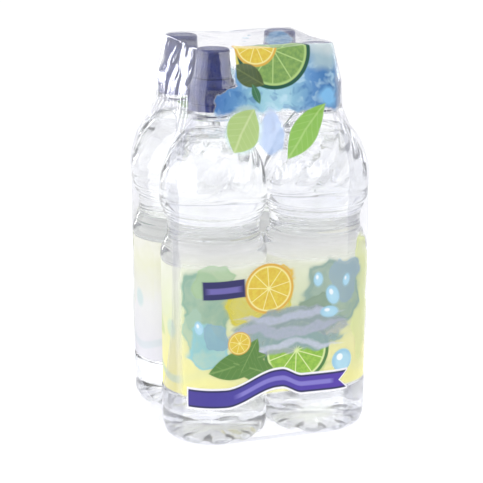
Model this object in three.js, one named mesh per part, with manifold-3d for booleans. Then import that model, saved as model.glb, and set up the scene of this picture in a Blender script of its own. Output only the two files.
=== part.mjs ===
// Four half-litre bottles of flavoured water, two by two, held together by one printed shrink film.
// Sizes are in millimetres. +Z is up, the origin is on the floor under the middle of the pack, and
// the printed front of the pack looks towards -Y.

import * as THREE from 'three';
import { mergeVertices } from 'three/addons/utils/BufferGeometryUtils.js';
import Module from 'manifold-3d';

const wasm = await Module();
wasm.setup();

// Driving dimensions
const gap = 0.3;               // clearance between pieces that touch on the real pack
const pitch = 62.8;            // between the axes of neighbouring bottles
const bottleSides = 24;        // facets round a bottle and what follows its wall
const capSides = 16;           // facets round a cap

// The bottle, measured from the plane that it stands on
const bottle = {
  radius: 31.2,                // widest part of the body
  wall: 0.8,
  footRadius: 23.5,            // ring that the bottle stands on
  pushUp: 5,                   // rise of the hollow under the base
  heel: 11,                    // height of the rounded heel
  shoulder: 147,               // height at which the shoulder starts to draw in
  neckRadius: 12.2,
  neckLow: 189.7,              // height at which the shoulder becomes the neck
};

// Shallow recess round the body that holds the label
const panel = { radius: 30.3, low: 30, high: 108, step: 1.2 };
const labelWall = 0.3;
const labelMargin = 1;         // bare recess above and below the label

// Grip waist between the label and the shoulder
const waist = { middle: 126.5, reach: 17, depth: 4.4 };

// Neck finish: the support ring, and the plain rim that the cap closes
const ring = { radius: 15, low: 192.4, high: 194 };
const rim = { radius: 12, wall: 1.2, top: 206.8 };

const waterLevel = 180;

// Sports cap: a skirt over the rim, a sloping collar, and a tapering cover over the spout
const cap = {
  skirtRadius: 14.2,
  skirtTop: 208.4,
  collarRadius: 11.2,
  collarTop: 212.4,
  coverRadius: 10.8,
  coverTopRadius: 9.4,
  coverEdge: 1.2,              // bevel round the flat top
  top: 229.2,
};

// Shrink film: drawn round the whole pack, front to back, and open in an oval at either side
const film = {
  wall: 0.5,
  heel: 9,                     // height over which it turns under the bottles
  cornerSteps: 6,              // facets round each corner
  eyeMiddle: 103,              // height of the middle of the side ovals
  eyeReach: 44.5,              // half their width, front to back
  eyeRise: 88,                 // half their height
  eyeRoundness: 2.5,           // exponent of the oval: 2 is an ellipse, more is squarer
  eyeSteps: 40,
  shoulderSteps: 4,
  slack: 1.3,                  // how far it stands off the shoulder where it bridges the hollow
};

const baseHeight = film.wall + gap;       // the bottles stand on the film's bottom sheet

// Colours, roughness and gloss as the pack shows them
const clearPlastic = new THREE.MeshStandardMaterial({
  color: 0xe9edf3, roughness: 0.12, metalness: 0, transparent: true, opacity: 0.35,
});
const water = new THREE.MeshStandardMaterial({
  color: 0xf1f6fb, roughness: 0.05, metalness: 0, transparent: true, opacity: 0.45,
});
const bluePlastic = new THREE.MeshStandardMaterial({ color: 0x3f74ad, roughness: 0.4, metalness: 0 });
const labelPrint = new THREE.MeshStandardMaterial({ color: 0xe4e9b4, roughness: 0.45, metalness: 0 });
const filmPrint = new THREE.MeshStandardMaterial({
  color: 0x9fc6cf, roughness: 0.2, metalness: 0, transparent: true, opacity: 0.4,
});

const point = (radius, height) => new THREE.Vector2(radius, height);

// Points of a quadratic curve after its first one
function curve(from, via, to, steps) {
  return new THREE.QuadraticBezierCurve(from, via, to).getPoints(steps).slice(1);
}

// Base and heel, from the axis to the top of the heel
function baseOutline(inset, wide, heelSteps) {
  const { footRadius, pushUp, heel } = bottle;
  const crown = point(0, pushUp + inset);
  const foot = point(footRadius, inset);
  return [
    crown,
    ...curve(crown, point(footRadius * 0.75, pushUp + inset), foot, 2),
    ...curve(foot, point(wide, inset), point(wide, heel), heelSteps),
  ];
}

// The waist dips by half a cosine wave on either side of its middle
function waistOutline(wide, steps) {
  const points = [];
  for (let i = 0; i <= steps; i += 1) {
    const along = 2 * i / steps - 1;
    const dip = waist.depth * Math.cos(along * Math.PI / 2) ** 2;
    points.push(point(wide - dip, waist.middle + along * waist.reach));
  }
  return points;
}

// The shoulder leaves the body upright and runs out upright into the neck
function shoulderOutline(inset, wide, steps) {
  const { shoulder, neckRadius, neckLow } = bottle;
  const span = neckLow - shoulder;
  const bend = new THREE.CubicBezierCurve(
    point(wide, shoulder),
    point(wide, shoulder + 0.48 * span),
    point(neckRadius + 6.3 - inset, shoulder + 0.81 * span),
    point(neckRadius - inset, neckLow),
  );
  return bend.getPoints(steps);
}

// Inside of the bottle's wall, set in from the label recess by the wall and any more clearance
function innerOutline(clearance) {
  const inset = bottle.wall + clearance;
  const wide = panel.radius - inset;
  return [
    ...baseOutline(inset, wide, 2),
    ...waistOutline(wide, 2),
    ...shoulderOutline(inset, wide, 4),
  ];
}

function outerOutline() {
  const wide = bottle.radius;
  return [
    ...baseOutline(0, wide, 3),
    point(wide, panel.low - panel.step),
    point(panel.radius, panel.low),
    point(panel.radius, panel.high),
    ...waistOutline(wide, 6),
    ...shoulderOutline(0, wide, 6),
    point(ring.radius, ring.low),
    point(ring.radius, ring.high),
    point(rim.radius, ring.high + 0.4),
    point(rim.radius, rim.top),
  ];
}

function turned(outline, sides) {
  return new THREE.LatheGeometry(outline, sides);
}

// A lathe turns round Y, so every turned piece is stood up along Z once
function standing(geometry) {
  return geometry.rotateX(Math.PI / 2);
}

function bottleGeometry() {
  const inside = innerOutline(0);
  const mouth = [
    point(rim.radius - rim.wall, rim.top),
    point(rim.radius - rim.wall, ring.low),
  ];
  return standing(turned([...outerOutline(), ...mouth, ...inside.reverse()], bottleSides));
}

// The outline below a level, closed by a flat top
function cutAt(outline, level) {
  const kept = outline.filter((p) => p.y < level);
  const last = kept[kept.length - 1];
  const next = outline[kept.length];
  const share = (level - last.y) / (next.y - last.y);
  return [...kept, last.clone().lerp(next, share), point(0, level)];
}

function waterGeometry() {
  return standing(turned(cutAt(innerOutline(gap), waterLevel), bottleSides));
}

function labelGeometry() {
  const inner = panel.radius + gap;
  const outer = inner + labelWall;
  const low = panel.low + labelMargin;
  const high = panel.high - labelMargin;
  const outline = [
    point(inner, low), point(outer, low), point(outer, high), point(inner, high), point(inner, low),
  ];
  return standing(turned(outline, bottleSides));
}

function capGeometry() {
  const skirtLow = ring.high + 0.4 + gap;
  const bore = rim.radius + gap;
  const ceiling = rim.top + gap;
  const outline = [
    point(0, ceiling),
    point(bore, ceiling),
    point(bore, skirtLow),
    point(cap.skirtRadius, skirtLow),
    point(cap.skirtRadius, cap.skirtTop),
    point(cap.collarRadius, cap.collarTop),
    point(cap.coverRadius, cap.collarTop + 0.4),
    point(cap.coverTopRadius, cap.top - cap.coverEdge),
    point(cap.coverTopRadius - cap.coverEdge, cap.top),
    point(0, cap.top),
  ];
  return standing(turned(outline, capSides));
}

// The film as corner radius against height: its inside, or its outside when it is set out by its
// wall. It runs straight past the waist, follows the shoulder to the support ring with some slack,
// and is drawn tight over the cap's skirt and up to the edge of its cover.
function filmOutline(wall) {
  const grow = gap + wall;
  const wide = bottle.radius + grow;
  const low = film.wall - wall;
  const lift = (height) => height + baseHeight;
  const foot = point(bottle.footRadius + grow, low);
  const shoulder = shoulderOutline(0, bottle.radius, film.shoulderSteps);
  return [
    foot,
    ...curve(foot, point(wide, low), point(wide, film.heel), 3),
    ...shoulder.slice(0, -1).map((p, i) => {
      const slack = film.slack * Math.sin(Math.PI * i / film.shoulderSteps);
      return point(p.x + grow + slack, lift(p.y));
    }),
    point(ring.radius + grow, lift(ring.low)),
    point(ring.radius + grow, lift(ring.high)),
    point(cap.skirtRadius + grow, lift(cap.skirtTop)),
    point(cap.coverTopRadius + grow, lift(cap.top - cap.coverEdge)),
    point(cap.coverTopRadius - cap.coverEdge + grow, lift(cap.top) + grow),
  ];
}

// A closed skin over rounded squares: one square for each point of an outline, its corners
// centred on the bottles' axes, closed flat at the bottom and the top.
function squareLoft(outline) {
  const corners = [[1, 1], [-1, 1], [-1, -1], [1, -1]];
  const steps = film.cornerSteps;
  const count = corners.length * (steps + 1);
  const positions = [];
  const faces = [];
  outline.forEach(({ x: radius, y: height }) => {
    corners.forEach(([sideX, sideY], corner) => {
      for (let i = 0; i <= steps; i += 1) {
        const angle = (corner + i / steps) * Math.PI / 2;
        positions.push(
          sideX * pitch / 2 + radius * Math.cos(angle),
          sideY * pitch / 2 + radius * Math.sin(angle),
          height,
        );
      }
    });
  });
  for (let level = 0; level < outline.length - 1; level += 1) {
    for (let i = 0; i < count; i += 1) {
      const a = level * count + i;
      const b = level * count + (i + 1) % count;
      faces.push(a, b, b + count, a, b + count, a + count);
    }
  }
  const low = positions.length / 3;
  const high = low + 1;
  const top = (outline.length - 1) * count;
  positions.push(0, 0, outline[0].y, 0, 0, outline[outline.length - 1].y);
  for (let i = 0; i < count; i += 1) {
    const next = (i + 1) % count;
    faces.push(low, next, i, high, top + i, top + next);
  }
  const geometry = new THREE.BufferGeometry();
  geometry.setAttribute('position', new THREE.Float32BufferAttribute(positions, 3));
  geometry.setIndex(faces);
  return geometry;
}

// A long bar along X whose section is the oval of the film's side openings
function eyeGeometry() {
  const power = 2 / film.eyeRoundness;
  const bulge = (value) => Math.sign(value) * Math.abs(value) ** power;
  const outline = [];
  for (let i = 0; i < film.eyeSteps; i += 1) {
    const angle = 2 * Math.PI * i / film.eyeSteps;
    outline.push(new THREE.Vector2(
      film.eyeReach * bulge(Math.cos(angle)),
      film.eyeMiddle + film.eyeRise * bulge(Math.sin(angle)),
    ));
  }
  const length = 3 * pitch;
  const bar = new THREE.ExtrudeGeometry(new THREE.Shape(outline), { depth: length, bevelEnabled: false });
  bar.translate(0, 0, -length / 2);
  const turn = new THREE.Matrix4().makeBasis(
    new THREE.Vector3(0, 1, 0),
    new THREE.Vector3(0, 0, 1),
    new THREE.Vector3(1, 0, 0),
  );
  return bar.applyMatrix4(turn);
}

// A geometry as a solid that can be cut
function solid(geometry) {
  const bare = geometry.clone();
  bare.deleteAttribute('normal');
  bare.deleteAttribute('uv');
  const merged = mergeVertices(bare, 1e-4);
  return new wasm.Manifold(new wasm.Mesh({
    numProp: 3,
    vertProperties: new Float32Array(merged.attributes.position.array),
    triVerts: new Uint32Array(merged.index.array),
  }));
}

function geometryOf(manifold) {
  const { vertProperties, triVerts } = manifold.getMesh();
  const geometry = new THREE.BufferGeometry();
  geometry.setAttribute('position', new THREE.BufferAttribute(new Float32Array(vertProperties), 3));
  geometry.setIndex(new THREE.BufferAttribute(new Uint32Array(triVerts), 1));
  geometry.computeVertexNormals();
  return geometry;
}

function filmGeometry() {
  const outside = solid(squareLoft(filmOutline(film.wall)));
  const inside = solid(squareLoft(filmOutline(0)));
  return geometryOf(outside.subtract(inside).subtract(solid(eyeGeometry())));
}

// The places of the four bottles, seen from the front
const places = [
  { name: 'front_left', x: -1, y: -1 },
  { name: 'front_right', x: 1, y: -1 },
  { name: 'back_left', x: -1, y: 1 },
  { name: 'back_right', x: 1, y: 1 },
];

const pieces = [
  { name: 'bottle', geometry: bottleGeometry(), material: clearPlastic },
  { name: 'water', geometry: waterGeometry(), material: water },
  { name: 'label', geometry: labelGeometry(), material: labelPrint },
  { name: 'cap', geometry: capGeometry(), material: bluePlastic },
];

function bottleGroup(place) {
  const group = new THREE.Group();
  for (const piece of pieces) {
    const mesh = new THREE.Mesh(piece.geometry, piece.material);
    mesh.name = `${piece.name}_${place.name}`;
    group.add(mesh);
  }
  group.position.set(place.x * pitch / 2, place.y * pitch / 2, baseHeight);
  return group;
}

const pack = new THREE.Group();
places.forEach((place) => pack.add(bottleGroup(place)));

const shrinkFilm = new THREE.Mesh(filmGeometry(), filmPrint);
shrinkFilm.name = 'shrink_film';
pack.add(shrinkFilm);

export default pack;
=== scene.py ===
import math

import bmesh
import bpy
import numpy as np
from mathutils import Matrix, Vector, noise


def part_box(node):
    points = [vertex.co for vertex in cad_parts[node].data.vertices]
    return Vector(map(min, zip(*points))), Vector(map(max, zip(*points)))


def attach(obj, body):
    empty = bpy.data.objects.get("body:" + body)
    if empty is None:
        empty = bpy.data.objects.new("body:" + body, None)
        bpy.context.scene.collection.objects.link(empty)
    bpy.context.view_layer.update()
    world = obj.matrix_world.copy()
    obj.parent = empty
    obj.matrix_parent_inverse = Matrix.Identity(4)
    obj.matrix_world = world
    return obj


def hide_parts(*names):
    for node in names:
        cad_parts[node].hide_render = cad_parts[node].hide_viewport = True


# Four clear bottles of flavoured water, two by two, in one printed shrink film.
# Lengths are in millimetres until a mesh is made, and metres after that.

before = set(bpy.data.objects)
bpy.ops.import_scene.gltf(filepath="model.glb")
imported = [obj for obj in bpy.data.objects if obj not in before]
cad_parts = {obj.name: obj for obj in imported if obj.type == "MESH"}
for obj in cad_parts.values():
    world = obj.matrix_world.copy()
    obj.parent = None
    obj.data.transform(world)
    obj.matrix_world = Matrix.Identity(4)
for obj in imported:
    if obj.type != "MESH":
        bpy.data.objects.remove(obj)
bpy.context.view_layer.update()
print("frame loaded")

mm = 0.001
places = {"front_left": (-1, -1), "front_right": (1, -1), "back_left": (-1, 1), "back_right": (1, 1)}


def extent(node):
    # a node's lowest and highest corner, in millimetres
    low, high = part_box(node)
    return low / mm, high / mm


bottleLow, bottleHigh = extent("bottle_front_right")
bottleRadius = (bottleHigh.x - bottleLow.x) / 2
halfPitch = (bottleHigh.x + bottleLow.x) / 2
standing = bottleLow.z  # the bottles stand on the film's bottom sheet
labelLow, labelHigh = extent("label_front_right")
filmLow, filmHigh = extent("shrink_film")


# Node trees

class Wire:
    # an output of a shader node that takes part in sums as a number does
    def __init__(self, tree, socket=None):
        self.tree = tree
        self.socket = socket

    def make(self, kind, settings=None, inputs=None, output=0):
        node = self.tree.nodes.new(kind)
        for name, value in (settings or {}).items():
            if name == "stops":
                fillRamp(node.color_ramp, value)
            else:
                setattr(node, name, value)
        for name, value in (inputs or {}).items():
            if isinstance(value, Wire):
                self.tree.links.new(value.socket, node.inputs[name])
            else:
                node.inputs[name].default_value = colourOf(value)
        return Wire(self.tree, node.outputs[output] if node.outputs else None)

    def sum(self, operation, *values):
        return self.make("ShaderNodeMath", {"operation": operation}, dict(enumerate(values)))

    def vector(self, operation, *values, output=0):
        settings = {"operation": operation}
        return self.make("ShaderNodeVectorMath", settings, dict(enumerate(values)), output)

    def __add__(self, other):
        return self.sum("ADD", self, other)

    def __radd__(self, other):
        return self.sum("ADD", other, self)

    def __sub__(self, other):
        return self.sum("SUBTRACT", self, other)

    def __rsub__(self, other):
        return self.sum("SUBTRACT", other, self)

    def __mul__(self, other):
        return self.sum("MULTIPLY", self, other)

    def __rmul__(self, other):
        return self.sum("MULTIPLY", other, self)

    def __truediv__(self, other):
        return self.sum("DIVIDE", self, other)

    def __abs__(self):
        return self.sum("ABSOLUTE", self)


def fillRamp(ramp, stops):
    while len(ramp.elements) < len(stops):
        ramp.elements.new(1)
    for element, (position, colour) in zip(ramp.elements, stops):
        element.position = position
        element.color = colourOf(colour)


def colourOf(value):
    # a colour written as on a screen, such as 8fb05c, as the renderer's linear one; others stay
    if not isinstance(value, str):
        return value
    channels = [int(value[i:i + 2], 16) / 255 for i in (0, 2, 4)]
    return tuple(c / 12.92 if c <= 0.04045 else ((c + 0.055) / 1.055) ** 2.4 for c in channels) + (1.0,)


def ramp(value, low, high, fromValue=0.0, toValue=1.0, smooth=False):
    # value taken from the range low..high to fromValue..toValue, held at both ends
    kind = "SMOOTHSTEP" if smooth else "LINEAR"
    return value.make("ShaderNodeMapRange", {"interpolation_type": kind, "clamp": True}, {
        "Value": value, "From Min": low, "From Max": high, "To Min": fromValue, "To Max": toValue,
    })


def shades(value, *stops):
    # a colour for each value from 0 to 1
    return value.make("ShaderNodeValToRGB", {"stops": stops}, {0: value})


def sine(value):
    return value.sum("SINE", value)


def blend(share, first, second):
    # the first colour where share is 0 and the second where it is 1
    wire = next(w for w in (share, first, second) if isinstance(w, Wire))
    return wire.make("ShaderNodeMix", {"data_type": "RGBA"}, {0: share, 6: first, 7: second}, 2)


def mixShaders(share, first, second):
    return first.make("ShaderNodeMixShader", {}, {0: share, 1: first, 2: second})


def speckle(place, size, detail=2.0, roughness=0.5):
    # smooth noise from 0 to 1 with spots of about that size
    return place.make("ShaderNodeTexNoise", {}, {
        "Vector": place, "Scale": 1 / size, "Detail": detail, "Roughness": roughness,
    })


def bumpOf(height, distance, strength=1.0):
    return height.make("ShaderNodeBump", {}, {
        "Height": height, "Distance": distance, "Strength": strength,
    })


def newMaterial(name):
    material = bpy.data.materials.new(name)
    material.use_nodes = True
    material.node_tree.nodes.clear()
    return material, Wire(material.node_tree)


def finishMaterial(material, surface):
    surface.make("ShaderNodeOutputMaterial", {}, {"Surface": surface})
    return material


def plastic(root, sockets):
    return root.make("ShaderNodeBsdfPrincipled", {}, sockets)


def objectPlace(root):
    # the place on the piece, in millimetres
    coordinates = root.make("ShaderNodeTexCoord", output="Object")
    return coordinates.vector("MULTIPLY", coordinates, (1 / mm, 1 / mm, 1 / mm))


def flattened(place):
    # the place as seen from above
    return place.vector("MULTIPLY", place, (1, 1, 0))


def wrapPlace(root):
    # the place on a printed sheet: millimetres round from its middle, and its height
    return root.make("ShaderNodeUVMap", {"uv_map": "wrap"})


# Printed shapes: each gives 1 inside, 0 outside and a soft edge between

def local(place, centre, half, turn=0.0):
    # the place measured from a shape's middle, in its own halves
    return place.make("ShaderNodeMapping", {"vector_type": "TEXTURE"}, {
        "Vector": place,
        "Location": (centre[0], centre[1], 0),
        "Rotation": (0, 0, math.radians(turn)),
        "Scale": (half[0], half[1], 1),
    })


def parts(vector, count=2):
    split = vector.make("ShaderNodeSeparateXYZ", {}, {0: vector}).socket.node
    return [Wire(vector.tree, output) for output in split.outputs[:count]]


def inside(distance, soft):
    # distance is 1 on the shape's edge and less inside it
    return ramp(distance, 1 - soft, 1 + soft, 1.0, 0.0)


def lengthOf(vector):
    return vector.vector("LENGTH", vector, output="Value")


def oval(place, centre, half, turn=0.0, soft=0.4):
    return inside(lengthOf(local(place, centre, half, turn)), soft / min(half))


def leaf(place, centre, half, turn, soft=0.4):
    # a pointed leaf, its midrib and its side veins
    along, across = parts(local(place, centre, half, turn))
    away = abs(across)
    body = inside(away + along * along, soft / half[1])
    rib = ramp(away, 0.02, 0.1, 1.0, 0.0)
    veins = ramp(sine(along * 22 + away * 11), 0.7, 1.0)
    return body, rib, veins


def wander(place, size, reach):
    # the place with its edges moved about, so that a wash of colour runs unevenly
    drift = place.make("ShaderNodeTexNoise", {}, {
        "Vector": place, "Scale": 1 / size, "Detail": 2.0,
    }, "Color")
    moved = drift.vector("MULTIPLY_ADD", drift, (reach, reach, 0), place)
    return moved.vector("SUBTRACT", moved, (reach / 2, reach / 2, 0))


def wash(inks, place, grain, centre, half, turn, colour, cover):
    # a patch laid on wet, uneven inside and with a deeper line where it dried
    reach = lengthOf(local(place, centre, half, turn))
    body = ramp(reach, 0.82, 1.0, 1.0, 0.0, True)
    dried = ramp(abs(reach - 0.86), 0.0, 0.07, 0.35, 0.0)
    inks.lay(body * ramp(grain, 0.25, 0.7, 1.0, 0.72) + dried * body, colour, cover)


def box(place, centre, half, turn=0.0, soft=0.4):
    across, up = parts(local(place, centre, half, turn))
    return inside(across.sum("MAXIMUM", abs(across), abs(up)), soft / min(half))


def fruitSlice(inks, place, streak, centre, radius, turn, segments, colours, keep=None):
    # rind, pith, and segments of pulp with darker streaks; keep masks off a part of the slice
    spot = local(place, centre, (radius, radius), turn)
    across, up = parts(spot)
    reach = lengthOf(spot)
    angle = up.sum("ARCTAN2", up, across)
    soft = 0.3 / radius
    body = inside(reach, soft)
    if keep:
        body = body * keep
    seam = abs(sine(angle * (segments / 2))) * reach
    inks.lay(body, colours["rind"])
    inks.lay(body * ramp(reach, 0.9 - soft, 0.9 + soft, 1.0, 0.0), colours["pith"])
    pulp = body * ramp(seam, 0.05, 0.11) * ramp(reach, 0.82, 0.86, 1.0, 0.0)
    inks.lay(pulp, blend(ramp(streak, 0.35, 0.65), colours["pulp"], colours["deepPulp"]))


class Paint:
    # inks laid over each other on clear film: a colour, and how much of the film it covers
    def __init__(self, colour, cover=0.0):
        self.colour = colour
        self.cover = cover

    def lay(self, mask, colour, cover=1.0):
        self.colour = blend(mask, self.colour, colour)
        self.cover = mask * (cover - self.cover) + self.cover


# Mesh building

def bezier(points, steps):
    share = np.linspace(0, 1, steps + 1)[:, None]
    degree = len(points) - 1
    return sum(
        math.comb(degree, i) * share ** i * (1 - share) ** (degree - i) * np.array(point, float)
        for i, point in enumerate(points)
    )


def join(*stretches):
    # an outline without the points where its stretches meet twice; a stretch is points as they
    # are, or a tuple of a curve's control points and its number of steps
    outline = np.vstack([bezier(s[:-1], s[-1]) if isinstance(s, tuple) else s for s in stretches])
    kept = np.ones(len(outline), bool)
    kept[1:] = np.linalg.norm(np.diff(outline, axis=0), axis=1) > 1e-4
    return outline[kept]


def meshObject(name, points, faces, material):
    mesh = bpy.data.meshes.new(name)
    mesh.from_pydata((np.asarray(points) * mm).tolist(), [], faces)
    mesh.materials.append(material)
    mesh.polygons.foreach_set("use_smooth", [True] * len(mesh.polygons))
    mesh.validate()
    made = bpy.data.objects.new(name, mesh)
    bpy.context.scene.collection.objects.link(made)
    return made


def bands(rows):
    # faces between closed rows of point numbers; a row may be one point over and over
    faces = []
    for low, high in zip(rows, rows[1:]):
        for i in range(len(low)):
            j = (i + 1) % len(low)
            corners = list(dict.fromkeys([low[i], low[j], high[j], high[i]]))
            if len(corners) > 2:
                faces.append(corners)
    return faces


def turned(outline, sides, shape=None):
    # points and faces of an outline of radius and height turned round Z; its ends on the axis are
    # single points, and an outline that returns to its start closes on itself
    outline = np.asarray(outline, float)
    angles = np.arange(sides) * 2 * math.pi / sides
    onAxis = outline[:, 0] < 1e-6
    points, rows = [], []
    for (radius, height), single in zip(outline, onAxis):
        first = len(points)
        if single:
            points.append((0, 0, height))
            rows.append([first] * sides)
            continue
        reach = np.full(sides, radius)
        level = np.full(sides, height)
        if shape:
            reach, level = shape(angles, reach, level)
        points += list(zip(reach * np.cos(angles), reach * np.sin(angles), level))
        rows.append(list(range(first, first + sides)))
    if not onAxis[0]:
        rows.append(rows[0])
    return points, bands(rows)


def bump(value, middle, reach):
    # a smooth hump of height 1 round the middle
    return np.exp(-((value - middle) / reach) ** 2)


def window(value, low, high, fade):
    # 1 between low and high, falling to 0 over the fade on either side
    rise = np.clip((value - low) / fade + 1, 0, 1)
    fall = np.clip((high - value) / fade + 1, 0, 1)
    share = rise * fall
    return share * share * (3 - 2 * share)


def dress(piece, slot, *nodes):
    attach(piece, "root")
    if nodes:
        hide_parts(*nodes)


def copies(node, piece, turns, castsShadow=False):
    # the same piece at all four places, each turned its own way; what lets light through casts no
    # shadow, so that the floor and the drink stay light
    for (spot, (sideX, sideY)), turn in zip(places.items(), turns):
        mesh = piece.data.copy()
        mesh.transform(Matrix.Rotation(math.radians(turn), 4, "Z"))
        made = bpy.data.objects.new(f"{piece.name}_{spot}", mesh)
        bpy.context.scene.collection.objects.link(made)
        made.location = (sideX * halfPitch * mm, sideY * halfPitch * mm, standing * mm)
        made.visible_shadow = castsShadow
        dress(made, node, f"{node}_{spot}")
    bpy.data.objects.remove(piece)


# The bottle. Heights are from the plane that it stands on.

bottle = {
    "sides": 120,
    "wall": 0.8,
    "footRadius": 23.5,
    "pushUp": 5.0,
    "heel": 11.0,
    "shoulder": 147.0,
    "neckRadius": 12.2,
    "neckLow": 189.7,
    "panelRadius": 30.3,
    "panelLow": 30.0,
    "panelHigh": 108.0,
    "panelStep": 1.2,
    "waistMiddle": 126.5,
    "waistReach": 17.0,
    "waistDepth": 4.4,
    "ringRadius": 15.0,
    "ringLow": 192.4,
    "ringHigh": 194.0,
    "rimRadius": 12.0,
    "rimWall": 1.2,
    "rimTop": 206.8,
    "grooves": (116.0, 121.2, 131.8, 137.0),  # grip grooves round the waist
    "grooveDepth": 0.55,
    "grooveReach": 1.1,
    "flutes": 12,  # soft flutes that wind down the shoulder
    "fluteDepth": 0.8,
    "fluteTwist": 0.03,  # radians a millimetre
    "fluteSpan": (158, 178, 9),  # lowest, highest, and how far they fade out
    "feet": 10,  # lobes of the base
    "footDepth": 1.6,
    "footSpan": (12, 26, 7),  # distances from the bottle's axis
    "waterLevel": 180.0,
    "waterClimb": 1.2,  # at the wall
    "turns": (8, 31, 17, 52),
}


def waistOutline(wide, steps):
    # the waist, from the body's top edge up to the foot of the shoulder
    along = np.linspace(-1, 1, steps + 1)
    dip = bottle["waistDepth"] * np.cos(along * math.pi / 2) ** 2
    waist = np.stack([wide - dip, bottle["waistMiddle"] + along * bottle["waistReach"]], 1)
    return join(waist, (waist[-1], (wide, bottle["shoulder"]), 2))


def shoulderOutline(inset, wide, steps):
    low, high = bottle["shoulder"], bottle["neckLow"]
    span, neck = high - low, bottle["neckRadius"]
    return bezier([
        (wide, low), (wide, low + 0.48 * span),
        (neck + 6.3 - inset, low + 0.81 * span), (neck - inset, high),
    ], steps)


def baseOutline(inset, wide):
    foot, crown = bottle["footRadius"], bottle["pushUp"] + inset
    return join(
        ((0, crown), (foot * 0.75, crown), (foot, inset), 14),
        ((foot, inset), (wide, inset), (wide, bottle["heel"]), 12),
    )


def bottleShape(angles, reach, level):
    # grooves, flutes and the lobes of the base, all pressed inward
    height = level[0]
    groove = sum(bump(height, middle, bottle["grooveReach"]) for middle in bottle["grooves"])
    wound = angles - bottle["fluteTwist"] * height
    flute = (0.5 - 0.5 * np.cos(bottle["flutes"] * wound)) ** 2 * window(height, *bottle["fluteSpan"])
    lobe = (0.5 - 0.5 * np.cos(bottle["feet"] * angles)) ** 3
    spread = window(reach, *bottle["footSpan"])
    foot = lobe * window(height, -2, 6, 9) * spread
    inward = groove * bottle["grooveDepth"] + flute * bottle["fluteDepth"] + foot * bottle["footDepth"]
    lift = lobe * spread * window(height, -2, 1, 3) * bottle["footDepth"]
    return reach - inward, level + lift


def insideOutline(inset, wide):
    return join(
        baseOutline(inset, wide),
        ((wide, bottle["heel"]), (wide, bottle["waistMiddle"] - bottle["waistReach"]), 12),
        waistOutline(wide, 44),
        shoulderOutline(inset, wide, 28),
    )


def outsideOutline():
    wide, recess = bottle["radius"], bottle["panelRadius"]
    low, high, step = bottle["panelLow"], bottle["panelHigh"], bottle["panelStep"]
    neck, ring, rim = bottle["neckRadius"], bottle["ringRadius"], bottle["rimRadius"]
    ringLow, ringHigh, top = bottle["ringLow"], bottle["ringHigh"], bottle["rimTop"]
    return join(
        baseOutline(0, wide),
        ((wide, bottle["heel"]), (wide, low - step), 4),
        ((wide, low - step), (wide, low - 0.2), (recess, low - 0.6), (recess, low), 6),
        ((recess, low), (recess, high), 8),
        ((recess, high), (recess, high + 0.6), (wide, high + 0.2), (wide, high + step), 6),
        waistOutline(wide, 60),
        shoulderOutline(0, wide, 40),
        ((neck, bottle["neckLow"]), (neck, ringLow - 0.6), (neck + 0.8, ringLow - 0.4), 4),
        ((ring - 0.4, ringLow - 0.1), (ring, ringLow), (ring, ringLow + 0.4), 3),
        ((ring, ringHigh - 0.4), (ring, ringHigh), (ring - 0.4, ringHigh), 3),
        ((rim + 0.6, ringHigh + 0.1), (rim, ringHigh + 0.1), (rim, ringHigh + 0.7), 3),
        ((rim, ringHigh + 0.7), (rim, top - 0.4), 4),
        ((rim, top - 0.4), (rim, top), (rim - 0.4, top), 3),
    )


def bottleMaterial():
    # clear bottle plastic, a little uneven
    material, root = newMaterial("clearPlastic")
    spot = objectPlace(root)
    return finishMaterial(material, plastic(root, {
        "Base Color": (0.994, 0.996, 1.0, 1),
        "IOR": 1.5,
        "Transmission Weight": 1.0,
        "Roughness": ramp(speckle(spot, 22), 0.35, 0.7, 0.005, 0.03),
        "Normal": bumpOf(speckle(spot, 14, 1.0), 0.00012),
    }))


def waterMaterial():
    material, root = newMaterial("flavouredWater")
    return finishMaterial(material, plastic(root, {
        "Base Color": (0.994, 0.998, 1.0, 1),
        "IOR": 1.333,
        "Transmission Weight": 1.0,
        "Roughness": 0.0,
    }))


def makeBottles():
    bottle["radius"] = bottleRadius
    rim, wall = bottle["rimRadius"], bottle["rimWall"]
    mouth = join(
        ((rim - 0.6, bottle["rimTop"]), (rim - wall, bottle["rimTop"]),
         (rim - wall, bottle["rimTop"] - 0.5), 3),
        ((rim - wall, bottle["rimTop"] - 0.5), (rim - wall, bottle["ringLow"]), 3),
    )
    inner = insideOutline(bottle["wall"], bottle["panelRadius"] - bottle["wall"])
    outline = join(outsideOutline(), mouth, inner[::-1])
    points, faces = turned(outline, bottle["sides"], bottleShape)
    piece = meshObject("clear_bottle", points, faces, bottleMaterial())
    copies("bottle", piece, bottle["turns"])


def makeWater():
    # the drink reaches halfway into the bottle's wall, and its surface climbs a little at the wall
    inset = bottle["wall"] / 2
    level, climb = bottle["waterLevel"], bottle["waterClimb"]
    whole = insideOutline(inset, bottle["panelRadius"] - inset)
    kept = whole[whole[:, 1] < level + climb]
    edge = kept[-1][0]
    outline = join(
        kept,
        ((edge, level + climb), (edge - 1.2, level + 0.2), (edge - 3, level), (edge - 5, level), 8),
        ((edge - 5, level), (0, level), 4),
    )
    points, faces = turned(outline, bottle["sides"], bottleShape)
    copies("water", meshObject("clear_drink", points, faces, waterMaterial()), bottle["turns"])


# The label in its recess: a thin sleeve with a lapped seam

label = {
    "sides": 144,
    "wall": 0.35,
    "clearance": 0.05,  # from the bottle's recess
    "lap": 0.18,  # how far the seam stands out
    "slack": 0.08,
    "cover": 0.78,  # the rest of the light passes through the thin plastic
    "turns": (-45, -20, 128, 200),
}


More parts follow.
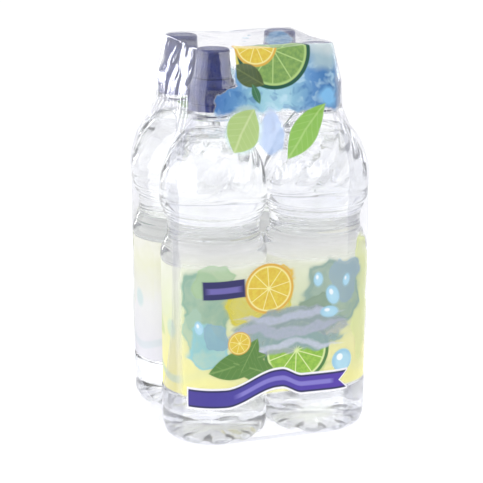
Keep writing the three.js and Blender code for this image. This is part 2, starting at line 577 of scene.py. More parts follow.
def labelMaterial(radius):
    # one side is yellow green that turns to yellow at the foot, the other nearly white, and both
    # have soft leaves and a wave
    material, root = newMaterial("labelPrint")
    spot = wrapPlace(root)
    around, height = parts(spot)
    drift = speckle(spot, 9, 2.0)
    rise = ramp(height, labelLow.z, labelHigh.z) + (drift - 0.5) * 0.25
    yellow = shades(rise, (0.0, "f0e870"), (0.28, "f2ec96"), (0.6, "e2e9bc"), (1.0, "eef0de"))
    pale = shades(rise, (0.0, "dddce4"), (0.45, "e6e6e6"), (0.8, "e6e7cc"), (1.0, "eeeee2"))
    half = math.pi * radius / 2
    backSide = ramp(abs(around) + (drift - 0.5) * 12, half - 9, half + 9, 0.0, 1.0, True)
    inks = Paint(blend(backSide, yellow, pale), 1.0)
    repeat = math.pi * radius / 2
    for i in range(4):
        middle = (i - 1.5) * repeat
        odd = i % 2
        body, rib = leaf(spot, (middle - 9, 62 + 9 * odd), (13, 5.5), 40 - 70 * odd, 1.2)[:2]
        inks.lay(body * (0.5 - backSide * 0.25), "a9c96a")
        inks.lay(body * rib * 0.5, "dfeab2")
        inks.lay(oval(spot, (middle + 10, 84 - 14 * odd), (4, 5.5), 15, 1.0) * 0.4, "9fd0d6")
    wave = height - 43 - sine(around * (2 * math.pi / repeat)) * 3
    inks.lay(ramp(abs(wave), 1.6, 3.0, 0.5, 0.0) * (1 - backSide * 0.6), "8fc0c4")
    return finishMaterial(material, plastic(root, {
        "Base Color": inks.colour,
        "Roughness": ramp(drift, 0.3, 0.7, 0.32, 0.46),
        "IOR": 1.45,
        "Alpha": label["cover"],
        "Normal": bumpOf(speckle(spot, 5, 1.0), 0.00008),
    }))


def labelBackMaterial():
    material, root = newMaterial("labelBack")
    grain = speckle(objectPlace(root), 3, 2.0)
    return finishMaterial(material, plastic(root, {
        "Base Color": blend(grain, (0.9, 0.9, 0.91, 1), (0.96, 0.96, 0.96, 1)),
        "Roughness": 0.5,
        "Alpha": label["cover"],
    }))


def makeLabels():
    low, high = labelLow.z - standing, labelHigh.z - standing
    inner = bottle["panelRadius"] + label["clearance"]
    outer = inner + label["wall"]
    edge = label["wall"] / 2
    outline = join(
        [(inner, low)],
        ((outer - edge, low), (outer, low), (outer, low + edge), 3),
        ((outer, low + edge), (outer, high - edge), 24),
        ((outer, high - edge), (outer, high), (outer - edge, high), 3),
        ((inner, high), (inner, low + edge), 8),
    )

    def shape(angles, reach, level):
        # the lapped seam at the back, and a little slack in the sleeve
        lap = label["lap"] * window(np.abs(angles - math.pi / 2), -1, 0.10, 0.03)
        slack = label["slack"] * np.sin(5 * angles + level / 17) * np.sin(level / 9)
        return reach + (reach > inner + edge) * (lap + slack), level

    points, faces = turned(outline, label["sides"], shape)
    sleeve = meshObject("label_sleeve", points, faces, labelMaterial(outer))
    sleeve.data.materials.append(labelBackMaterial())
    wrap = sleeve.data.uv_layers.new(name="wrap")
    co = np.array([v.co for v in sleeve.data.vertices]) / mm
    for face in sleeve.data.polygons:
        centre = sum((sleeve.data.vertices[v].co for v in face.vertices), Vector()) / len(face.vertices)
        middle = math.atan2(centre.x, -centre.y)
        face.material_index = 1 if math.hypot(centre.x, centre.y) < (inner + edge) * mm else 0
        for loop, vertex in zip(face.loop_indices, face.vertices):
            x, y, z = co[vertex]
            angle = math.atan2(x, -y)
            angle -= 2 * math.pi * round((angle - middle) / (2 * math.pi))
            wrap.data[loop].uv = (angle * outer, z + standing)
    copies("label", sleeve, label["turns"])


# The sports cap: ribbed skirt over a tamper band, sloping collar, and a tapering cover

cap = {
    "sides": 240,
    "ribs": 60,
    "ribDepth": 0.45,
    "skirtRadius": 14.2,
    "skirtLow": 194.7,
    "bandTop": 198.3,
    "skirtTop": 208.4,
    "collarRadius": 11.2,
    "collarTop": 212.4,
    "coverRadius": 10.8,
    "coverTopRadius": 9.4,
    "top": 229.2,
    "grips": 8,
    "gripDepth": 0.5,
    "turns": (12, 47, 80, 29),
}


def capMaterial():
    # moulded navy plastic with faint flow marks and a soft shine
    material, root = newMaterial("navyPlastic")
    spot = objectPlace(root)
    flow = speckle(spot, 7, 3.0)
    fine = speckle(spot, 0.6, 2.0)
    return finishMaterial(material, plastic(root, {
        "Base Color": blend(ramp(flow, 0.35, 0.65), "151e56", "24327a"),
        "Roughness": ramp(fine, 0.3, 0.7, 0.24, 0.36),
        "IOR": 1.5,
        "Normal": bumpOf(fine, 0.00003, 0.6),
    }))


def capShape(angles, reach, level):
    # ribs on the skirt and grips on the cover
    height, radius = level[0], reach[0]
    if radius < 8:
        return reach, level
    outer = radius > cap["skirtRadius"] - 1.0
    rib = (0.5 - 0.5 * np.cos(cap["ribs"] * angles)) ** 0.8
    ribbed = window(height, cap["bandTop"] + 1.4, cap["skirtTop"] - 2.2, 1.0)
    inward = outer * rib * cap["ribDepth"] * ribbed
    onCover = radius < cap["coverRadius"] + 0.4 and height > cap["collarTop"]
    grip = np.clip(np.cos(cap["grips"] * angles) - 0.55, 0, 1) / 0.45
    gripped = window(height, cap["collarTop"] + 5, cap["top"] - 6, 2.0)
    inward += onCover * grip * cap["gripDepth"] * gripped
    return reach - inward, level


def makeCaps():
    skirt, collar = cap["skirtRadius"], cap["collarRadius"]
    low, band, top = cap["skirtLow"], cap["bandTop"], cap["skirtTop"]
    collarTop, cover, coverTop = cap["collarTop"], cap["coverRadius"], cap["coverTopRadius"]
    bore, ceiling = bottle["rimRadius"] + 0.1, bottle["rimTop"] + 0.1
    outline = join(
        ((0, ceiling), (bore - 0.5, ceiling), 3),
        ((bore - 0.5, ceiling), (bore, ceiling), (bore, ceiling - 0.5), 3),
        ((bore, ceiling - 0.5), (bore, low + 0.3), 4),
        ((bore, low + 0.3), (bore, low), (bore + 0.3, low), 2),
        ((skirt - 0.4, low), (skirt, low), (skirt, low + 0.4), 3),
        ((skirt, low + 0.4), (skirt, band - 0.3), 5),
        ((skirt, band - 0.3), (skirt, band), (skirt - 0.5, band), 2),
        ((skirt - 0.5, band), (skirt - 0.5, band + 0.45), 1),
        ((skirt - 0.5, band + 0.45), (skirt, band + 0.45), (skirt, band + 0.8), 2),
        ((skirt, band + 0.8), (skirt, top - 1.4), 14),
        ((skirt, top - 1.4), (skirt, top - 0.1), (skirt - 0.9, top + 0.3), 6),
        ((skirt - 0.9, top + 0.3), (collar + 1.3, top + 1.4), (collar + 0.4, collarTop - 0.8),
         (collar, collarTop - 0.2), 8),
        ((collar, collarTop - 0.2), (collar - 0.1, collarTop), (collar - 0.6, collarTop), 2),
        ((cover - 0.45, collarTop), (cover - 0.45, collarTop + 0.5), (cover, collarTop + 0.6), 3),
        ((cover, collarTop + 0.6), (cover - 0.05, collarTop + 1.6), 2),
        ((cover - 0.3, collarTop + 1.9), (coverTop + 0.12, cap["top"] - 2.4), 18),
        ((coverTop + 0.3, cap["top"] - 2.2), (coverTop + 0.35, cap["top"] - 1.4),
         (coverTop, cap["top"] - 0.3), (coverTop - 1.2, cap["top"]), 7),
        ((coverTop - 1.2, cap["top"]), (coverTop - 1.9, cap["top"]),
         (coverTop - 2.2, cap["top"] - 0.7), (coverTop - 3, cap["top"] - 0.8), 4),
        ((coverTop - 3, cap["top"] - 0.8), (0, cap["top"] - 0.8), 3),
    )
    points, faces = turned(outline, cap["sides"], capShape)
    copies("cap", meshObject("sports_cap", points, faces, capMaterial()), cap["turns"], True)


# The shrink film. Its section is a rounded square, whose corners turn round the bottles' axes.

film = {
    "wall": 0.12,
    "clearance": 0.8,  # from a bottle to the film's outside
    "flatSteps": 25,
    "cornerSteps": 28,
    "heel": 9.0,
    "eyeMiddle": 103.0,
    "eyeReach": 44.5,
    "eyeRise": 88.0,
    "eyeRoundness": 2.5,
    "slack": 1.3,
    "rimThickness": 0.3,  # the rolled edge of the side openings
    "pleats": 13,  # folds to each 100 mm round, where the film draws in to the caps
    "pleatSpan": (168, 190, 18),  # lowest, highest, and how far they fade out
    "hollow": 0.8,  # how far the film draws in from cap to cap, at the top
    "creaseDepth": 0.15,  # slanting creases between the caps
    "creaseSpan": (198, 222, 10),
    "creaseLean": 0.8,
    "gather": 0.2,  # along the edge of an opening
    "sag": 0.9,  # between the bottles
    "sagSpan": (14, 178, 10),
    "topSag": 1.6,  # of the top sheet between the caps
    "topFold": 0.35,
    "topPrintBack": 26,  # how far back the upper print reaches on the top sheet
    "lowerPrintTop": 130,
    "upperPrintFoot": 165,
    "crinkle": 0.0001,
    "shine": 0.8,  # of the reflection that bare plastic has
    "mostShine": 0.075,
    "veil": 0.003,  # shine that it has even straight on
    "tint": (0.97, 0.975, 1, 1),
    "edgeShade": 0.18,  # how much more it hides, with painted grey shade, where it is seen edge on
    # the grey painted into the film as shade where it turns edge on
    "edgeShadeTint": (0.42, 0.43, 0.52, 1),
}


def filmOutline():
    # corner radius against height, from the bottom sheet's edge to the top sheet's
    grow = film["clearance"]
    wide, foot = bottleRadius + grow, bottle["footRadius"] + grow
    shoulder = shoulderOutline(0, bottleRadius, 32)[:25]
    slack = film["slack"] * np.sin(math.pi * np.arange(25) / 32)
    shoulder = shoulder + np.stack([grow + slack, np.full(25, standing)], 1)
    ring, skirt = bottle["ringRadius"] + grow, cap["skirtRadius"] + grow
    cover, top = cap["coverTopRadius"] + grow, filmHigh.z
    return join(
        ((foot, 0), (wide, 0), (wide, film["heel"]), 8),
        ((wide, film["heel"]), shoulder[0], 64),
        shoulder,
        (shoulder[-1], (ring, bottle["ringLow"] + standing), 8),
        ((ring, bottle["ringLow"] + standing), (ring, bottle["ringHigh"] + standing), 2),
        ((ring, bottle["ringHigh"] + standing), (skirt, cap["skirtTop"] + standing), 12),
        ((skirt, cap["skirtTop"] + standing), (cover, top - 2), 17),
        ((cover, top - 2), (cover - 0.4, top - 0.4), (cover - 1.2, top), 3),
    )


def sectionPoints(radius):
    # one turn round the pack, from the middle of the front towards +X
    half, flat, corner = halfPitch, film["flatSteps"], film["cornerSteps"]
    shares = np.linspace(0, 1, flat + 1)[:-1]
    angles = np.linspace(0, math.pi / 2, corner + 1)[:-1]
    x = np.concatenate([half * shares, half + radius * np.sin(angles), np.full(flat, half + radius)])
    y = np.concatenate([
        np.full(flat, half + radius), half + radius * np.cos(angles), half * (1 - shares),
    ])
    quarters = [np.stack([x, -y], 1)]
    for _ in range(3):
        quarters.append(np.stack([-quarters[-1][:, 1], quarters[-1][:, 0]], 1))
    return np.vstack(quarters)


def wayRound(x, y, radius):
    # distance along the film from the middle of the front or the back
    aside, deep = abs(x), abs(y)
    if aside <= halfPitch:
        return aside
    if deep <= halfPitch:
        return halfPitch + radius * math.pi / 2 + halfPitch - deep
    return halfPitch + radius * math.atan2(aside - halfPitch, deep - halfPitch)


def eyeDistance(point):
    # below 0 inside the oval of a side opening, and roughly millimetres near its edge
    across = abs(point.y) / film["eyeReach"]
    along = abs(point.z - film["eyeMiddle"]) / film["eyeRise"]
    power = film["eyeRoundness"]
    return ((across ** power + along ** power) ** (1 / power) - 1) * film["eyeReach"]


def filmCovers(point):
    return eyeDistance(point) if abs(point.x) > halfPitch / 2 else film["eyeReach"]


def filmSheet():
    # the film's grid, smooth and whole, before the openings are cut
    outline = filmOutline()
    foot, top = outline[0], outline[-1]
    levels = [(foot[0], 0.0, share) for share in np.linspace(0, 1, 9)[1:]]
    levels += [(radius, height, 1) for radius, height in outline[1:]]
    levels += [(top[0], top[1], share) for share in np.linspace(1, 0, 16)[1:-1]]
    rows = [
        [(x, y, height) for x, y in sectionPoints(radius) * share] for radius, height, share in levels
    ]
    points = [(0, 0, 0)] + sum(rows, []) + [(0, 0, top[1])]
    count = len(rows[0])
    numbers = [list(range(1 + i * count, 1 + (i + 1) * count)) for i in range(len(rows))]
    return points, bands([[0] * count] + numbers + [[len(points) - 1] * count])


def cutOpenings(mesh):
    # the grid is cut exactly along the ovals, and what lies inside them goes
    near = 1e-3
    value = {v: filmCovers(v.co) for v in mesh.verts}
    for edge in list(mesh.edges):
        first, second = edge.verts
        a, b = value[first], value[second]
        if a * b < 0 and min(abs(a), abs(b)) > near and max(abs(a), abs(b)) < 20:
            made = bmesh.utils.edge_split(edge, first, a / (a - b))[1]
            value[made] = 0.0
    for face in list(mesh.faces):
        on = [v for v in face.verts if abs(value[v]) <= near]
        signs = {value[v] > 0 for v in face.verts if abs(value[v]) > near}
        if len(on) == 2 and len(signs) == 2:
            bmesh.utils.face_split(face, on[0], on[1])
    gone = [f for f in mesh.faces if all(value[v] <= near for v in f.verts)]
    bmesh.ops.delete(mesh, geom=gone, context="FACES")


def cornerRadius(outline, height):
    return float(np.interp(height, outline[:, 1], outline[:, 0]))


def wrinkle(point, away):
    # how far the film stands out from its smooth form at a point, in millimetres
    x, y, z = point
    broad = noise.noise(Vector((x / 17, y / 17, z / 26)))
    fine = noise.noise(Vector((x / 4.5, y / 4.5, z / 15)))
    corner = min(1.0, max(0.0, (away - halfPitch + 6) / 12))
    # folds run up to the caps where the film draws in, deeper round the corners
    drawn = float(window(z, *film["pleatSpan"]))
    drift = 5 * noise.noise(Vector((x / 14, y / 14, z / 34)))
    pleat = 0.5 + 0.5 * math.sin(2 * math.pi * film["pleats"] * away / 100 + drift)
    outward = drawn * pleat * (0.2 + 0.4 * corner) * (0.7 + 0.6 * fine)
    # slanting creases between the caps, where the film is slack
    aside = y if abs(x) > abs(y) else x
    across = z + film["creaseLean"] * aside + 9 * noise.noise(Vector((x / 21, y / 21, z / 40)))
    ridge = (1 - abs(noise.noise(Vector((across / 14, aside / 40, 2.7 + (abs(x) > abs(y))))))) ** 5
    patch = min(1.0, max(0.0, 0.5 + 1.6 * noise.noise(Vector((x / 11, y / 11, 9 + z / 15)))))
    between = max(1 - 0.5 * abs(aside) / halfPitch, 0.15)
    outward += float(window(z, *film["creaseSpan"])) * ridge * patch * between * film["creaseDepth"]
    # gathers along the edge of an opening
    gather = math.exp(-max(filmCovers(point), 0) / 7)
    outward += gather * film["gather"] * math.sin(z / 5 + y / 4 + 4 * broad)
    outward += 0.2 * broad - 0.3
    # between the bottles nothing is behind the film, so it sags a little
    behind = math.cos(min(abs(x), abs(y), halfPitch) / halfPitch * math.pi / 2) ** 2
    wall = float(window(z, *film["sagSpan"])) * (1 - corner)
    hollow = film["hollow"] * max(0.0, (z - 200) / 30)
    return outward - behind * (wall * (film["sag"] + 0.6 * broad) + hollow)


def topSag(point):
    # the top sheet hangs between the caps and is creased round each of them
    x, y = point.xy
    aside, deep = abs(x) - halfPitch, abs(y) - halfPitch
    reach = math.hypot(aside, deep)
    hang = float(window(reach, 26, 99, 16)) * film["topSag"]
    crease = math.sin(11 * math.atan2(deep, aside) + 3 * noise.noise(Vector((x / 12, y / 12, 5))))
    fold = float(window(reach, 16, 28, 6)) * film["topFold"] * (0.5 + 0.5 * crease)
    return -hang - fold - 0.3 * abs(noise.noise(Vector((x / 8, y / 8, 0))))


def inkZone(centre, flat):
    # which of the film's three finishes a face has: upper print, lower print, or bare
    across = max(abs(centre.x), halfPitch) - halfPitch
    if flat:
        onTop = centre.z > film["upperPrintFoot"] and abs(centre.x) < halfPitch + 5
        return 0 if onTop and centre.y < film["topPrintBack"] else 2
    if abs(centre.y) < halfPitch + 0.4 * across:
        return 2
    return 1 if centre.z < film["lowerPrintTop"] else 0 if centre.z > film["upperPrintFoot"] else 2


def wrapMap(mesh, outline):
    # each face takes its way round from the half, front or back, that it lies on
    layer = mesh.loops.layers.uv.new("wrap")
    low, high = outline[0][1], outline[-1][1]
    edge = halfPitch + outline[-1][0]
    for face in mesh.faces:
        centre = face.calc_center_median()
        side = -1 if centre.y > 0 else 1
        flat = centre.z > high - 0.01 or centre.z < low + 0.01
        face.material_index = inkZone(centre, flat)
        for loop in face.loops:
            x, y, z = loop.vert.co
            if flat:
                inward = (edge - abs(y)) if centre.z > high / 2 else abs(y) - edge
                loop[layer].uv = (side * x, z + inward)
            else:
                away = wayRound(x, y, cornerRadius(outline, z))
                loop[layer].uv = (math.copysign(away, x) * side, z)


def rimTube(mesh, side):
    # a bead along the edge of one opening: a loop of points and a small round section
    edges = [e for e in mesh.edges if e.is_boundary and e.verts[0].co.x * side > 0]
    start = edges[0].verts[0]
    loop, vertex, last = [start], start, None
    while True:
        edge = next(e for e in vertex.link_edges if e.is_boundary and e is not last)
        vertex, last = edge.other_vert(vertex), edge
        if vertex is start:
            break
        loop.append(vertex)
    centres = np.array([v.co for v in loop])
    ahead = np.roll(centres, -1, 0) - np.roll(centres, 1, 0)
    ahead /= np.linalg.norm(ahead, axis=1)[:, None]
    outward = np.array([v.normal for v in loop])
    aside = np.cross(ahead, outward)
    points, sides = [], 8
    for k in range(sides):
        turn = 2 * math.pi * k / sides
        section = (math.cos(turn) - 1) * outward + math.sin(turn) * aside
        points.append(centres + film["rimThickness"] * section)
    rows = [list(range(i * sides, (i + 1) * sides)) for i in range(len(loop))]
    return np.stack(points, 1).reshape(-1, 3), bands(rows + rows[:1])


fruit = {
    "lime": {
        "rind": "14503c", "pith": "a9c87a",
        "pulp": "86a856", "deepPulp": "6c944e",
    },
    "brightLime": {
        "rind": "4c7840", "pith": "cfe09a",
        "pulp": "98c04a", "deepPulp": "80ae3e",
    },
    "lemon": {
        "rind": "d6a844", "pith": "ece296",
        "pulp": "dcc648", "deepPulp": "d6b43c",
    },
}


def layLeaf(inks, place, centre, half, turn, colour, vein, keep=None):
    body, rib, veins = leaf(place, centre, half, turn)
    if keep:
        body = body * keep
    inks.lay(body, colour, 0.95)
    inks.lay(body * rib * 0.7, vein, 0.95)
    inks.lay(body * veins * 0.25, vein, 0.95)


def upperPrint(inks, place, height):
    # water, slices of lime and lemon that wrap over the top edge, and hanging leaves; the back has
    # no fruit, only the lower part of the water and the leaves
    around = parts(place)[0]
    loose = wander(place, 11, 9)
    looseAround, looseUp = parts(loose)
    depth = parts(place.make("ShaderNodeTexCoord", output="Object"))[1]
    front = ramp(depth, -0.02, -0.01, 1.0, 0.0)
    ripple = speckle(loose, 8, 2.0, 0.6)
    water = ramp(looseUp, 193, 196) * ramp(looseAround, 38, 46, 1.0, 0.0)
    left = ramp(looseUp, 204, 210, -36, -21.5)
    water = water * ramp(looseAround - left, -1.0, 1.0) * ramp(looseUp - front * 28, 204, 207, 1.0, 0.0)
    tone = shades(
        ramp(looseAround, -36, 46),
        (0.0, "4a7cbc"), (0.2, "649ccc"), (0.36, "9cd0de"), (0.56, "9accdf"),
        (0.74, "5c90c6"), (0.86, "3d76b0"), (1.0, "82aed0"),
    )
    inks.lay(water, tone, 0.9)
    inks.lay(water * ramp(ripple, 0.53, 0.66, 0.0, 0.6), "bfe2f0", 0.9)
    inks.lay(water * ramp(ripple, 0.44, 0.34, 0.0, 0.6), "3570b0", 0.9)
    for centre, half, turn, soft, colour in (
        ((33, 202), (5, 5.5), 20, 1.2, "84c2ee"), ((32, 225), (10, 7), 0, 3, "a6c2cc"),
        ((33, 231), (13, 5), -8, 2.5, "ccdadb"),
    ):
        inks.lay(oval(loose, centre, half, turn, soft) * front, colour, 0.9)
    drawnOut = wander(flattened(objectPlace(place)), 9, 5)
    onTop = ramp(height, 228, 229.5)
    trail = oval(drawnOut, (18, -5), (8.6, 29), -18.5, 1.0) * onTop
    inks.lay(trail, "5f9fca", 0.6)
    inks.lay(trail * ramp(ripple, 0.5, 0.6), "9cc8e4", 0.55)
    for drop, size in (((2, 9), 2.4), ((8, 21), 1.5), ((31, -19), 1.9), ((-3, -4), 1.3)):
        inks.lay(oval(drawnOut, drop, (size, size * 1.3), -18) * onTop, "6fabd2", 0.6)
    streak = speckle(place, 2.6, 2.0, 0.7)
    margin = ramp(around, -21.7, -21.3) * front
    inks.lay(box(place, (-9, 228), (13, 6.5), 0, 0.6) * margin, "c9c04c", 0.95)
    fruitSlice(inks, place, streak, (1.5, 229), 22, 12, 10, fruit["lime"], front)
    fruitSlice(inks, place, streak, (-9, 233), 13, 9, 9, fruit["lemon"], margin)
    layLeaf(inks, place, (-14.5, 215.5), (10.5, 6.2), -32, "46582c", "6f7c44", margin)
    layLeaf(inks, place, (-10.5, 205), (6, 2.4), -70, "356f4c", "6a9c70", front)
    inks.lay(oval(loose, (-3, 184), (8.5, 12), 0, 1.2), "b0c9f0", 0.7)
    inks.lay(oval(place, (-19.5, 185.5), (13.5, 10.5), 55, 1.5), "c8e4e2", 0.6)
    layLeaf(inks, place, (-19.5, 185.5), (13.5, 9.5), 55, "a8c474", "ccdba0")
    layLeaf(inks, place, (17.5, 183.5), (19.5, 7.2), 46, "84b846", "b0d27c")


def splash(inks, loose, streak):
    # flowing bands of pale water across the middle, thick in the middle and drawn out at their ends
    along, up = parts(loose)
    for middle, thick, swing, length, shift, colour in (
        (68, 13.0, 1.6, 13, 0.0, "9aa3b0"), (74, 6.5, 2.4, 9, 1.4, "8b9ea0"),
        (63, 5.5, 2.0, 11, 2.6, "86a3a4"), (69, 3.4, 2.6, 8, 4.0, "aab0c4"),
        (77, 2.2, 1.8, 10, 5.2, "b8bed2"), (59, 1.8, 1.5, 9, 0.8, "c2c8da"),
    ):
        line = middle + sine(along / length + shift) * swing
        taper = ramp(abs(along - 5), 14, 43, thick, -1.0, True)
        band = ramp(abs(up - line) - taper, -0.8, 0.8, 1.0, 0.0)
        inks.lay(band * ramp(streak, 0.3, 0.7, 0.95, 0.65), colour, 0.9)


def lowerPrint(inks, place, height):
    # a soft yellow green ground with washes of water, fruit, leaves and a ribbon
    around = parts(place)[0]
    loose = wander(place, 11, 9)
    streak = speckle(place, 2.6, 2.0, 0.7)
    reach = ramp(abs(around), 60, 66, 1.0, 0.0)
    rise = ramp(height, 32, 122)
    ground = shades(rise, (0.0, "f0ec84"), (0.3, "ebe89a"), (0.62, "d3e0ae"), (1.0, "e6e8d4"))
    fade = ramp(height, 103, 128, 0.8, 0.0, True) * ramp(height, 30.5, 32) * reach
    inks.lay(fade, ground, 0.85)
    ragged = wander(wander(place, 30, 26), 7, 6)
    grain = speckle(ragged, 9, 3.0, 0.65)
    for centre, half, turn, colour, cover in (
        ((54, 84), (9, 42), 0, "d8e09e", 0.8), ((-46, 86), (17, 27), 8, "86ac9a", 0.85),
        ((-54, 74), (9, 16), -10, "a2c2b0", 0.8), ((-40, 104), (13, 9), 20, "a4c49a", 0.75),
        ((-45, 62), (14, 16), 0, "8cc4ce", 0.85), ((-39, 70), (10, 8), 30, "86aec4", 0.8),
        ((34, 92), (22, 20), 0, "8aa69c", 0.85), ((41, 100), (12, 14), 30, "94aebc", 0.8),
        ((22, 84), (9, 10), 0, "7f9a86", 0.8), ((-13, 90), (23, 16), 10, "d0c442", 0.9),
        ((-2, 99), (10, 8), 0, "dcb640", 0.85), ((4, 46), (22, 9), 0, "c2d48c", 0.8),
    ):
        wash(inks, ragged, grain, centre, half, turn, colour, cover)
    fruitSlice(inks, place, streak, (-8, 95), 15, 14, 9, fruit["lemon"])
    fruitSlice(inks, place, streak, (9, 56), 20, -20, 10, fruit["brightLime"])
    splash(inks, loose, streak)
    for x, y, wide, high, turn in (
        (31, 88, 4, 6, 18), (40, 96, 2.4, 3.6, -14), (22, 98, 2.8, 4.2, 0),
        (29, 78, 5.5, 3.4, 0), (38, 47, 7, 7, 0), (-50, 74, 2.6, 4, 10),
    ):
        # a drop, lighter inside, with a glint
        inks.lay(oval(place, (x, y), (wide, high), turn, 0.5), "98c8e2", 0.9)
        lit = (x + wide * 0.1, y - high * 0.12)
        inks.lay(oval(place, lit, (wide * 0.75, high * 0.75), turn, 1.4) * 0.7, "b8e0f0", 0.9)
        glint = (x - wide * 0.25, y + high * 0.3)
        inks.lay(oval(place, glint, (wide * 0.3, high * 0.3), turn, 0.3), "f0f8fc", 0.9)
    for centre, half, turn in (
        ((-27, 51), (18, 8.5), 14), ((-16, 47), (15, 7), -22), ((-20, 56), (11, 5.2), 62),
    ):
        layLeaf(inks, place, centre, half, turn, "54803a", "7ea25a")
    fruitSlice(inks, place, streak, (-26, 64), 7, 30, 8, fruit["lemon"])
    # bare navy tab with a lighter face
    inks.lay(box(place, (-35, 96.5), (12.6, 5.4), 2, 0.3), "28285f", 1.0)
    inks.lay(box(place, (-35, 96.2), (9.6, 1.7), 2, 0.35), "6a63a8", 1.0)
    # pale patch low on the right
    inks.lay(oval(loose, (20, 16), (12, 7.5), 0, 2) * 0.6, "d8dfce", 0.6)
    ribbon(inks, around, height)


def ribbon(inks, around, height):
    # a violet band that rises over one long wave and ends in a notch at the right
    line = 31 + ramp(around, -34, -2, 0, 9, True) - ramp(around, 0, 13, 0, 5, True)
    away = abs(height - line)
    notch = ramp(away, 0, 5.2, 35.5, 41)
    reach = ramp(around, -57.3, -56.7) * ramp(notch - around, -0.3, 0.3)
    border = ramp(around, -58.3, -57.7) * ramp(notch + 1 - around, -0.3, 0.3)
    inks.lay(ramp(away, 6.4, 6.9, 1.0, 0.0) * border, "f0eff6", 0.9)
    inks.lay(ramp(away, 5.2, 5.6, 1.0, 0.0) * reach, "252556", 1.0)
    tone = shades(ramp(around, -57, 41), (0.0, "3f348c"), (0.4, "433a98"), (1.0, "5034a2"))
    inks.lay(ramp(away, 4.0, 4.4, 1.0, 0.0) * reach, tone, 1.0)
    stripe = ramp(around, -30, -24) * ramp(around, 30, 33, 1.0, 0.0)
    inks.lay(ramp(away, 1.0, 1.8, 1.0, 0.0) * stripe * 0.85, "847cc8", 1.0)


def filmSheen(root):
    # the film's crinkle, the share of light that it throws back where it is bare, and its tint,
    # with grey shade painted in where the film turns edge on
    normal = bumpOf(speckle(objectPlace(root), 6, 1.0), film["crinkle"])
    fresnel = root.make("ShaderNodeFresnel", {}, {"IOR": 1.5, "Normal": normal})
    sheen = fresnel.sum("MINIMUM", fresnel * film["shine"], film["mostShine"]) + film["veil"]
    # painted shade: the film turns greyer and less clear where it is seen edge on
    edgeOn = ramp(fresnel, 0.3, 0.9)
    tint = blend(edgeOn, film["tint"], film["edgeShadeTint"])
    return normal, sheen + edgeOn * film["edgeShade"], tint


def printedFilmMaterial(name, layPrint):
    # inks on the film, and its shine where it is bare
    material, root = newMaterial(name)
    place = wrapPlace(root)
    inks = Paint("ffffff")
    layPrint(inks, place, parts(place)[1])
    normal, sheen, tint = filmSheen(root)
    surface = plastic(root, {
        "Base Color": blend(ramp(inks.cover, 0.0, 0.3), tint, inks.colour),
        "Metallic": 1 - inks.cover,
        "Roughness": ramp(inks.cover, 0.0, 1.0, 0.08, 0.3),
        "IOR": 1.45,
        "Normal": normal,
    })
    clear = root.make("ShaderNodeBsdfTransparent")
    shown = inks.cover + (1 - inks.cover) * sheen
    return finishMaterial(material, mixShaders(shown, clear, surface))


def clearFilmMaterial():
    # film without print: seen through but for its shine
    material, root = newMaterial("clearFilm")
    haze = speckle(objectPlace(root), 11, 2.0)
    normal, sheen, tint = filmSheen(root)
    surface = plastic(root, {
        "Base Color": tint,
        "Metallic": 1.0,
        "Roughness": ramp(haze, 0.3, 0.7, 0.03, 0.09),
        "Normal": normal,
    })
    clear = root.make("ShaderNodeBsdfTransparent")
    return finishMaterial(material, mixShaders(sheen, clear, surface))


def makeFilm():
    outline = filmOutline()
    points, faces = filmSheet()
    clear = clearFilmMaterial()
    sheet = meshObject("printed_film", points, faces, printedFilmMaterial("upperPrint", upperPrint))
    sheet.data.materials.append(printedFilmMaterial("lowerPrint", lowerPrint))
    sheet.data.materials.append(clear)
    mesh = bmesh.new()
    mesh.from_mesh(sheet.data)
    bmesh.ops.scale(mesh, vec=(1 / mm, 1 / mm, 1 / mm), verts=mesh.verts)
    cutOpenings(mesh)
    wrapMap(mesh, outline)
    mesh.normal_update()
    moves = []
    for vertex in mesh.verts:
        x, y, z = vertex.co
        radius = cornerRadius(outline, z)
        away = wayRound(x, y, radius)
        inner = max(abs(x), abs(y)) < halfPitch + outline[-1][0] - 0.5
        if z < 0.01:
            moves.append(Vector())
        elif inner and z > outline[-1][1] - 0.01:
            moves.append(Vector((0, 0, topSag(vertex.co))))
        else:
            moves.append(vertex.normal * wrinkle(vertex.co, away))
    for vertex, move in zip(mesh.verts, moves):
        vertex.co += move
        vertex.co.z = max(vertex.co.z, 0.0)
    mesh.normal_update()
    tubes = [rimTube(mesh, side) for side in (-1, 1)]
    bmesh.ops.scale(mesh, vec=(mm, mm, mm), verts=mesh.verts)
    mesh.to_mesh(sheet.data)
    mesh.free()
    thickness = sheet.modifiers.new("thickness", "SOLIDIFY")
    thickness.thickness = film["wall"] * mm
    thickness.offset = -1
    thickness.material_offset = 2
    thickness.material_offset_rim = 2
    sheet.visible_shadow = False
    dress(sheet, "film", "shrink_film")
    for side, (tubePoints, tubeFaces) in zip(("left", "right"), tubes):
        tube = meshObject(f"film_edge_{side}", tubePoints, tubeFaces, clear)
        dress(tube, "film")


# Studio: white surround, pale floor, soft lights, and the camera of the photograph

studio = {
    "cameraAt": (-300.2, -886.0, 355.9),
    "yaw": 18.5,
    "pitch": 14.93,
    "lens": 118.7,
    "floorRadius": 6000.0,
    "lights": (
        # name, place, what it points at, width, height, watts, whether it only makes highlights
        ("fillSoftbox", (-600, -1000, 1200), (0, 0, 100), 900, 900, 4.5, False),
        ("sideSoftbox", (-1300, 60, 420), (0, 0, 150), 2500, 900, 9, True),
        ("backStrip", (-378, 1150, 250), (0, 0, 200), 84, 620, 1.2, True),
        ("frontStrip", (400, -1240, 520), (0, 0, 210), 90, 500, 0.5, True),
        ("rimStrip", (1000, 300, 600), (0, 0, 120), 140, 1000, 1.6, True),
    ),
    "surround": 1.11,
    "floorGlow": 0.5,  # light from below where the pack stands, which keeps clear bases light
    "glowSpan": (90, 190),  # distances from the middle over which the glow fades out
    "darkSide": 0.12,  # brightness low over the horizon before the pack, where a studio is unlit
}


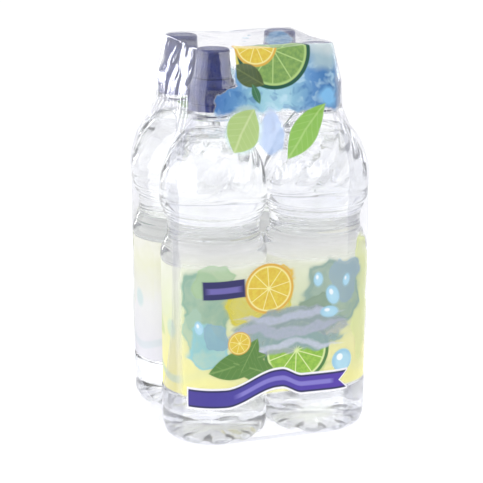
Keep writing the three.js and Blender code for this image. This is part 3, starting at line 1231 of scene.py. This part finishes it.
def worldLight():
    # white all round, with a greyer belt that draws the edges of clear things, and unlit low down
    # before the pack, so that the caps and the film keep their depth of colour; looked at straight,
    # the surround is plain white on every side
    world = bpy.data.worlds.new("studioLight")
    bpy.context.scene.world = world
    world.use_nodes = True
    world.node_tree.nodes.clear()
    root = Wire(world.node_tree)
    ahead, up = parts(root.make("ShaderNodeTexCoord", output="Generated"), 3)[1:]
    tone = shades(
        up * 0.5 + 0.5,
        (0.0, (0.98, 0.98, 0.98, 1)), (0.5, (1.03, 1.03, 1.03, 1)), (0.62, (1.0, 1.0, 1.0, 1)),
        (0.68, (0.74, 0.74, 0.82, 1)), (0.74, (0.78, 0.78, 0.86, 1)), (0.82, (1.06, 1.06, 1.06, 1)),
        (1.0, (1.06, 1.06, 1.06, 1)),
    )
    unlit = ramp(ahead, -0.55, -0.8) * ramp(up, -0.04, 0.0) * ramp(up, 0.28, 0.4, 1.0, 0.0)
    dark = studio["darkSide"]
    lit = blend(unlit, tone, (dark, dark, dark * 1.2, 1))
    straight = root.make("ShaderNodeLightPath", output="Is Camera Ray")
    light = tone.make("ShaderNodeBackground", {}, {
        "Color": blend(straight, lit, (1, 1, 1, 1)), "Strength": studio["surround"],
    })
    light.make("ShaderNodeOutputWorld", {}, {"Surface": light})


def floorDisc():
    material, root = newMaterial("paleFloor")
    spot = objectPlace(root)
    beyond = ramp(lengthOf(spot), *studio["glowSpan"], 0.0, 1.0, True)
    surface = plastic(root, {
        "Base Color": blend(speckle(spot, 90, 3.0), (0.965, 0.965, 0.97, 1), (0.99, 0.99, 0.99, 1)),
        "Roughness": 0.7,
        "Emission Color": blend(beyond, (1, 1, 1, 1), (0, 0, 0, 1)),
        "Emission Strength": studio["floorGlow"],
    })
    finishMaterial(material, surface)
    points, faces = turned([(0, -0.2), (studio["floorRadius"], -0.2)], 96)
    floor = meshObject("floor", points, faces, material)


def makeLight(name, at, target, width, height, watts, highlight):
    light = bpy.data.lights.new(name, "AREA")
    light.shape = "RECTANGLE"
    light.size, light.size_y, light.energy = width * mm, height * mm, watts
    holder = bpy.data.objects.new(name, light)
    bpy.context.scene.collection.objects.link(holder)
    holder.visible_diffuse = not highlight
    holder.visible_glossy = highlight
    holder.visible_transmission = False
    holder.location = Vector(at) * mm
    holder.rotation_euler = (Vector(target) - Vector(at)).to_track_quat("-Z", "Y").to_euler()


def makeStudio():
    worldLight()
    floorDisc()
    for light in studio["lights"]:
        makeLight(*light)
    camera = bpy.data.cameras.new("camera")
    camera.lens = studio["lens"]
    camera.sensor_width = 36
    camera.clip_end = 50
    holder = bpy.data.objects.new("camera", camera)
    bpy.context.scene.collection.objects.link(holder)
    holder.location = Vector(studio["cameraAt"]) * mm
    holder.rotation_euler = (math.radians(90 - studio["pitch"]), 0, math.radians(-studio["yaw"]))
    scene = bpy.context.scene
    scene.camera = holder
    scene.view_settings.view_transform = "Standard"
    scene.cycles.max_bounces = 40
    scene.cycles.transmission_bounces = 40
    scene.cycles.glossy_bounces = 12
    scene.cycles.diffuse_bounces = 4
    scene.cycles.transparent_max_bounces = 60
    scene.cycles.sample_clamp_indirect = 6
    scene.cycles.use_denoising = True


makeStudio()
print("studio set")
makeBottles()
makeWater()
print("bottles and water made")
makeLabels()
print("labels made")
makeCaps()
print("caps made")
makeFilm()
print("film made")
